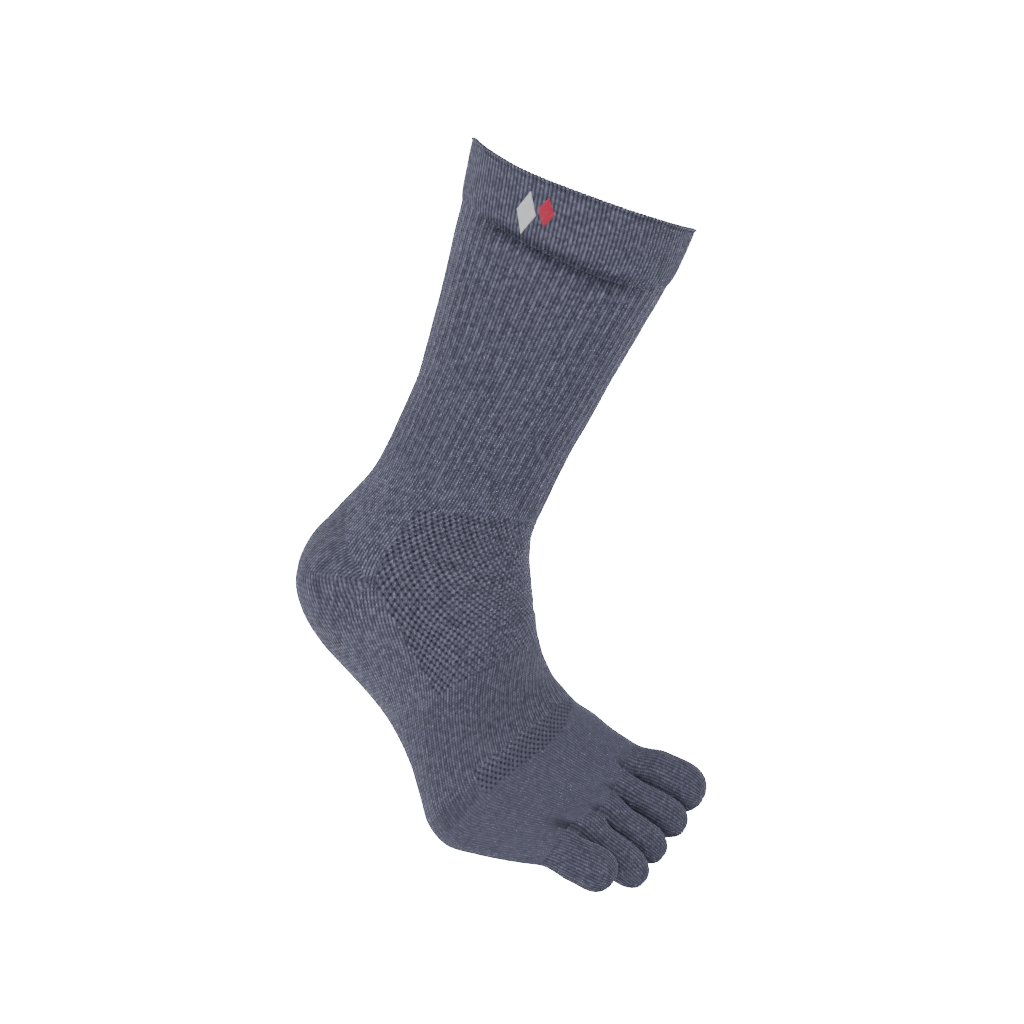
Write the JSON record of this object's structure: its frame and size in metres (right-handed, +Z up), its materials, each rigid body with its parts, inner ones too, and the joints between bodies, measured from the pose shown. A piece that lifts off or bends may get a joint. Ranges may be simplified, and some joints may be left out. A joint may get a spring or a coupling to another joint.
{
  "type": "five-toe crew sock",
  "caption": "Crew-height toe sock in its worn form: ribbed leg with a turned cuff, heel cup, foot tube and a separate pocket for each toe, hollow from the leg opening.",
  "frame": {"origin": "middle of the leg opening, where the sock is held", "axes": "+Z up out of the leg opening, +X the way the toes point, -Y the outer side of the foot"},
  "size_m": [0.2073, 0.107, 0.3774],
  "materials": {
    "cuff_knit": "matte fine-ribbed double welt",
    "leg_knit": "matte ribbed knit",
    "heel_knit": "matte plain knit",
    "foot_knit": "matte plain, mesh and ribbed knit",
    "toe_knit": "matte plain knit"
  },
  "bodies": {
    "root": {"cuff": "cuff_knit", "leg": "leg_knit", "heel": "heel_knit", "ankle": "foot_knit", "rear_foot": "foot_knit", "arch": "foot_knit", "forefoot": "foot_knit", "toe_1": "toe_knit", "toe_2": "toe_knit", "toe_3": "toe_knit", "toe_4": "toe_knit", "toe_5": "toe_knit"}
  },
  "joints": []
}
